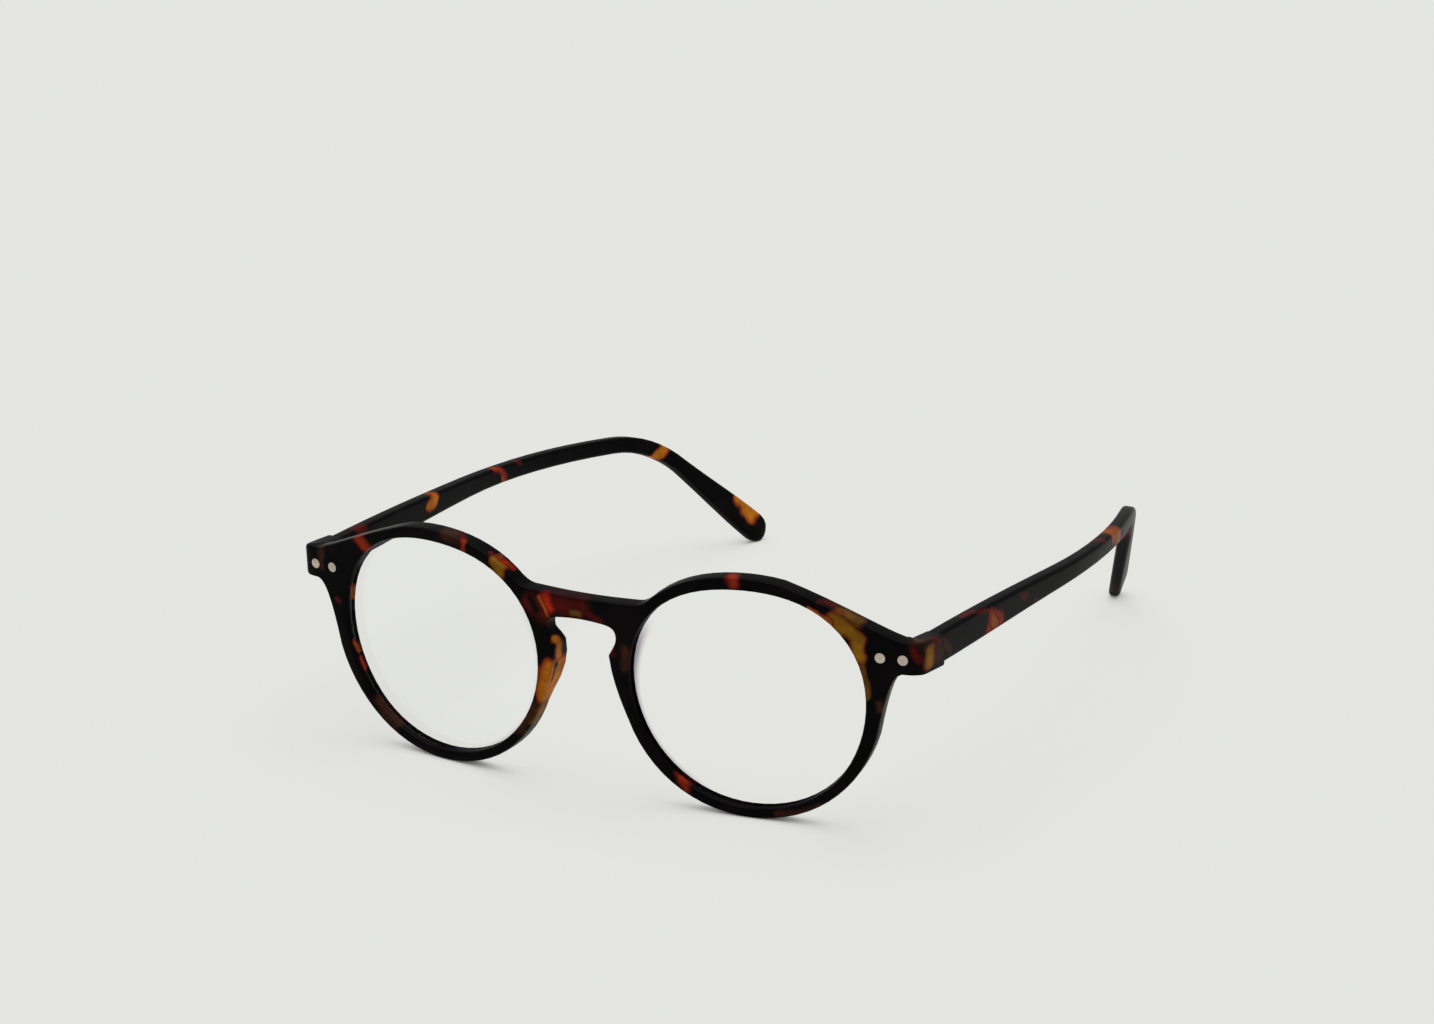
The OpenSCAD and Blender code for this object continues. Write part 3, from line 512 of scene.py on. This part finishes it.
print("satin black as light:", [round(c, 5) for c in DARK])

# %% [markdown]
# Plastic on the front and the temples.
# The front is a plate across the nose, thin along Y. The temples are plates along the head, thin
# along X. Distance counts less than half as much along those thin ways, so that each streak goes
# through the plate and shows on both of its faces.

# %% Cover the plastic parts
# How much distance counts along X, Y and Z.
FRONT_SQUASH = Vector((1.0, 0.45, 1.0))
TEMPLE_SQUASH = Vector((0.45, 1.0, 1.0))
cover("front_frame", tortoiseshell("tortoiseshell_front", FRONT_PATCHES, FRONT_SQUASH))
cover("temple_left", tortoiseshell("tortoiseshell_left", LEFT_TEMPLE_PATCHES, TEMPLE_SQUASH))
cover("temple_right", tortoiseshell("tortoiseshell_right", RIGHT_TEMPLE_PATCHES, TEMPLE_SQUASH))
print("tortoiseshell on", [n for n in nodes if "temple" in n or "frame" in n])

# %% [markdown]
# Clear lenses.
# A reading lens is thin, and its coating kills most of the reflection, so what is seen is the table
# behind it and a faint cool gleam. Bending light through two close surfaces would only cost time
# and darken the shadow. A see-through shader mixed with a weak mirror, stronger at a glancing
# angle, looks the same. On the side near the nose the ground bevel scatters light, and it shows as
# a soft mauve line along the rim.

# %% Make the lens finish
# Rings and fades run from 0 to 1 between their two numbers, as shares of the lens's half size.
CLEAR = (1.0, 1.0, 1.0, 1.0)
COATING = (0.86, 0.9, 1.0, 1.0)
BEVEL_RING = (0.92, 0.98)
NOSE_SIDE = (-0.95, -0.3)
NOSE_FADE = (0.55, 0.85)
SMEAR_SIZE = 3 * MM
LENS_ROUGHNESS = 0.03
LENS_SMEAR = 0.04
LENS_IOR = 1.5
COATING_GLEAM = 0.05


def bevel_mask(recipe, side):
    """1 on the ground bevel near the nose and 0 on the rest of the lens."""
    middle = (side * lens_middle.x, lens_middle.y, lens_middle.z)
    offset = recipe.vector("SUBTRACT", recipe.place(), middle).outputs[0]
    flat = recipe.vector("DIVIDE", offset, (lens_half.x, 1.0, lens_half.z)).outputs[0]
    reach = recipe.vector("LENGTH", recipe.vector("MULTIPLY", flat, (1.0, 0.0, 1.0)).outputs[0])
    ring = recipe.fade(reach.outputs["Value"], *BEVEL_RING)
    to_nose = (side * NOSE_SIDE[0], 0.0, NOSE_SIDE[1])
    nasal = recipe.vector("DOT_PRODUCT", flat, to_nose).outputs["Value"]
    return recipe.maths("MULTIPLY", ring, recipe.fade(nasal, *NOSE_FADE))


def lens_finish(name, side, bevel_tint):
    """Coated clear lens with a ground bevel, on the left (1) or the right (-1)."""
    recipe = Recipe(name)
    bevel = bevel_mask(recipe, side)
    clear = recipe.add("ShaderNodeBsdfTransparent")
    recipe.join(recipe.blend(bevel, CLEAR, bevel_tint), clear.inputs["Color"])
    mirror = recipe.add("ShaderNodeBsdfGlossy")
    mirror.inputs["Color"].default_value = COATING
    smear = recipe.noise(recipe.place(), SMEAR_SIZE, detail=4.0)
    recipe.join(recipe.uneven(smear, LENS_ROUGHNESS, LENS_SMEAR), mirror.inputs["Roughness"])
    edge = recipe.add("ShaderNodeFresnel")
    edge.inputs["IOR"].default_value = LENS_IOR
    gleam = recipe.add("ShaderNodeMixShader")
    recipe.join(recipe.maths("MULTIPLY", edge.outputs[0], COATING_GLEAM), gleam.inputs[0])
    recipe.join(clear.outputs[0], gleam.inputs[1])
    recipe.join(mirror.outputs[0], gleam.inputs[2])
    recipe.join(gleam.outputs[0], recipe.output.inputs["Surface"])
    return recipe.material


cover("lens_left", lens_finish("lens_left_coated", 1, colour(196, 190, 198)))
cover("lens_right", lens_finish("lens_right_coated", -1, colour(238, 236, 241)))
print("lens half width", round(lens_half.x / MM, 2), "mm")

# %% [markdown]
# Metal.
# The rivets are turned from nickel silver and tumbled, so they are warm, pale and dull. The hinges
# are stamped steel with a bright plate and a brushed grain along the temple, and their housings
# are plated black. All of them are one recipe with other numbers.

# %% Make the metal finishes
EVEN_GRAIN = (1.0, 1.0, 1.0)
BRUSHED_GRAIN = (1.0, 0.12, 1.0)
STAIN_SIZE = 1.2 * MM
STAIN_FADE = (0.35, 0.7)
STAIN_LIGHT = 0.82
METAL_UNEVEN = 0.16
BRUSH_STRENGTH = 0.15
BRUSH_HEIGHT = 0.01 * MM


def metal(name, tint, roughness, grain_size, stretch):
    """Plated metal with a fine grain, which stretch can draw out along one direction."""
    recipe = Recipe(name)
    place = recipe.vector("MULTIPLY", recipe.place(), stretch).outputs[0]
    grain = recipe.noise(place, grain_size, detail=5.0, roughness=0.7)
    stain = recipe.noise(recipe.place(), STAIN_SIZE)
    stained = recipe.fade(stain.outputs["Fac"], *STAIN_FADE)
    tone = recipe.blend(stained, tint, dimmed(tint, STAIN_LIGHT))
    shader = recipe.shader(tone, recipe.uneven(grain, roughness, METAL_UNEVEN))
    recipe.join(recipe.bump(grain, BRUSH_STRENGTH, BRUSH_HEIGHT), shader.inputs["Normal"])
    shader.inputs["Metallic"].default_value = 1.0
    return recipe.material


rivet_metal = metal(
    "rivet_nickel",
    colour(212, 199, 186),
    roughness=0.4,
    grain_size=0.12 * MM,
    stretch=EVEN_GRAIN,
)
hinge_metal = metal(
    "hinge_steel",
    colour(206, 206, 210),
    roughness=0.22,
    grain_size=0.1 * MM,
    stretch=BRUSHED_GRAIN,
)
housing_metal = metal(
    "housing_black_steel",
    colour(58, 57, 60),
    roughness=0.35,
    grain_size=0.1 * MM,
    stretch=BRUSHED_GRAIN,
)
spring_metal = metal(
    "spring_wire",
    colour(176, 176, 182),
    roughness=0.28,
    grain_size=0.08 * MM,
    stretch=EVEN_GRAIN,
)
for side in ("left", "right"):
    cover(f"front_rivets_{side}", rivet_metal)
    cover(f"flex_spring_{side}", spring_metal)
    cover(f"spring_housing_{side}", housing_metal)
    for part in ("front_hinge", "hinge_screw", "hinge_eye", "guide_bush", "spring_nut"):
        cover(f"{part}_{side}", hinge_metal)
print("metals:", rivet_metal.name, hinge_metal.name, housing_metal.name, spring_metal.name)

# %% [markdown]
# Copies of the springs.
# Each temple can be drawn away from the front against a wound spring inside its hinge. The packed
# spring can't change its length, so its last turn would run into the nut at the end of the slide.
# A copy stands for it and rides on its temple in place of the packed spring.

# %% Put a copy of each spring on its temple


def shortening_spring(side):
    """A copy of the packed spring, set on its temple in place of the packed one."""
    packed = nodes[f"flex_spring_{side}"]
    spring = bpy.data.objects.new(f"wound_spring_{side}", packed.data.copy())
    bpy.context.scene.collection.objects.link(spring)
    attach(spring, f"temple_{side}")
    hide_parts(packed.name)
    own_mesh(spring)
    return spring


springs = [shortening_spring(side) for side in ("left", "right")]

# %% [markdown]
# Smooth shading.
# The packed parts are made of small flat faces. The plastic was polished in a tumbler, so it must
# catch the light without a facet showing. A small geometry graph closes the seams between the
# faces and shades them smooth, but keeps real corners sharp. Then the normals are weighted by
# area, which keeps the broad faces flat and leaves the turn of the light to the rounded edges.

# %% Shade the parts smooth
SEAM = 0.001 * MM
SHARP_ANGLE = math.radians(40)


def smoothing_graph(sharp_angle):
    """A geometry graph that closes seams and shades smooth up to an angle."""
    tree = bpy.data.node_groups.new("polish", "GeometryNodeTree")
    for in_out in ("INPUT", "OUTPUT"):
        tree.interface.new_socket(
            "Geometry", in_out=in_out, socket_type="NodeSocketGeometry"
        )
    start = tree.nodes.new("NodeGroupInput")
    end = tree.nodes.new("NodeGroupOutput")
    close = tree.nodes.new("GeometryNodeMergeByDistance")
    close.inputs["Distance"].default_value = SEAM
    faces = tree.nodes.new("GeometryNodeSetShadeSmooth")
    edges = tree.nodes.new("GeometryNodeSetShadeSmooth")
    edges.domain = "EDGE"
    angle = tree.nodes.new("GeometryNodeInputMeshEdgeAngle")
    sharp = tree.nodes.new("FunctionNodeCompare")
    sharp.data_type = "FLOAT"
    sharp.operation = "GREATER_THAN"
    sharp.inputs["B"].default_value = sharp_angle
    tree.links.new(start.outputs[0], close.inputs[0])
    tree.links.new(close.outputs[0], faces.inputs[0])
    tree.links.new(faces.outputs[0], edges.inputs[0])
    tree.links.new(angle.outputs["Unsigned Angle"], sharp.inputs["A"])
    tree.links.new(sharp.outputs[0], edges.inputs["Selection"])
    edges.inputs["Shade Smooth"].default_value = False
    tree.links.new(edges.outputs[0], end.inputs[0])
    return tree


polish = smoothing_graph(SHARP_ANGLE)
for part in [*nodes.values(), *springs]:
    step = part.modifiers.new("polish", "NODES")
    step.node_group = polish
    weigh = part.modifiers.new("weighted", "WEIGHTED_NORMAL")
    weigh.keep_sharp = True
print("polished", len(nodes) + len(springs), "parts")

# %% [markdown]
# The table.
# The glasses stand on a seamless pale surface, and the only shadows are the soft ones under them.
# A brighter lamp could even the table out, but it would grey the dark plastic too. Here the table's
# own shading is mixed with its plain colour, which only the camera and reflections see, so the
# glasses get no more light. Ambient occlusion tells how closed in a point of the table is. Near the
# glasses it makes the plain colour give way to the real shading, so the contact shadows stay tight
# and dark while the rest of the table stays flat.

# %% Lay the table
PALE = colour(229, 230, 225)
PALE_FIBRE = colour(222, 223, 219)
TABLE_HALF = 4.0
TABLE_ROUGHNESS = 0.9
FIBRE_SIZE = 2 * MM
FIBRE_SHOWS = 0.06
# The share of plain colour in the open, and how far round the glasses it gives way.
TABLE_EVENNESS = 0.75
CONTACT_REACH = 6 * MM
CONTACT_FADE = (-0.1, 0.9)
CONTACT_SAMPLES = 8


def table_seen(recipe):
    """How much of the plain colour shows: less near the glasses, and none to other rays."""
    path = recipe.add("ShaderNodeLightPath")
    seen = recipe.maths("MAXIMUM", path.outputs["Is Camera Ray"], path.outputs["Is Glossy Ray"])
    seen = recipe.maths("MAXIMUM", seen, path.outputs["Is Transmission Ray"])
    near = recipe.add("ShaderNodeAmbientOcclusion", samples=CONTACT_SAMPLES)
    near.inputs["Distance"].default_value = CONTACT_REACH
    open_share = recipe.fade(near.outputs["AO"], *CONTACT_FADE)
    evenness = recipe.maths("MULTIPLY", open_share, TABLE_EVENNESS)
    return recipe.maths("MULTIPLY", seen, evenness)


def table_finish():
    """Pale matt paper, lightly mottled, evened out for the camera."""
    recipe = Recipe("pale_table")
    fibre = recipe.noise(recipe.place(), FIBRE_SIZE)
    mottle = recipe.maths("MULTIPLY", fibre.outputs["Fac"], FIBRE_SHOWS)
    paper = recipe.shader(recipe.blend(mottle, PALE, PALE_FIBRE), TABLE_ROUGHNESS)
    paper.inputs["Specular IOR Level"].default_value = 0.0
    plain = recipe.add("ShaderNodeEmission")
    plain.inputs["Color"].default_value = PALE
    both = recipe.add("ShaderNodeMixShader")
    recipe.join(table_seen(recipe), both.inputs[0])
    recipe.join(paper.outputs[0], both.inputs[1])
    recipe.join(plain.outputs[0], both.inputs[2])
    recipe.join(both.outputs[0], recipe.output.inputs["Surface"])
    return recipe.material


def make_table():
    """A wide pale plane at the height that the glasses stand on."""
    half = TABLE_HALF
    data = bpy.data.meshes.new("table")
    corners = [(-half, -half, 0), (half, -half, 0), (half, half, 0), (-half, half, 0)]
    data.from_pydata(corners, [], [(0, 1, 2, 3)])
    table = bpy.data.objects.new("table", data)
    bpy.context.scene.collection.objects.link(table)
    data.materials.append(table_finish())
    print("table", 2 * half, "m wide")


make_table()

# %% [markdown]
# The light.
# A dim, even sky keeps the gleam low on the dark plastic, where a bright one would turn the black
# to grey. The rest comes from one very wide sun almost straight above, which draws the soft sheen
# along the top edges and drops the soft shadow. The camera sees the sky in the table's own colour,
# so a low view has no grey band above the table's edge.

# %% Hang the lights
SKY_STRENGTH = 0.4
SKY_LIGHT = (1.0, 1.0, 1.0, 1.0)
SUN_ROUND = math.radians(180)
SUN_HEIGHT = math.radians(86)
SUN_SPREAD = math.radians(60)
SUN_STRENGTH = 1.87


def make_sky():
    """An even, dim sky, which the camera sees as pale."""
    world = bpy.data.worlds.new("sky")
    bpy.context.scene.world = world
    world.use_nodes = True
    tree = world.node_tree
    dim = tree.nodes["Background"]
    dim.inputs["Color"].default_value = SKY_LIGHT
    dim.inputs["Strength"].default_value = SKY_STRENGTH
    backdrop = tree.nodes.new("ShaderNodeBackground")
    backdrop.inputs["Color"].default_value = PALE
    path = tree.nodes.new("ShaderNodeLightPath")
    both = tree.nodes.new("ShaderNodeMixShader")
    tree.links.new(path.outputs["Is Camera Ray"], both.inputs[0])
    tree.links.new(dim.outputs[0], both.inputs[1])
    tree.links.new(backdrop.outputs[0], both.inputs[2])
    tree.links.new(both.outputs[0], tree.nodes["World Output"].inputs["Surface"])


def make_sun():
    """A very wide soft sun, just behind the point straight above the glasses."""
    data = bpy.data.lights.new("overhead", "SUN")
    data.energy = SUN_STRENGTH
    data.angle = SUN_SPREAD
    sun = bpy.data.objects.new("overhead", data)
    bpy.context.scene.collection.objects.link(sun)
    sun.rotation_euler = direction(SUN_ROUND, SUN_HEIGHT).to_track_quat("Z", "Y").to_euler()


make_sky()
make_sun()
bpy.context.scene.view_settings.view_transform = "Standard"

# %% [markdown]

# %% [markdown]
# The end.
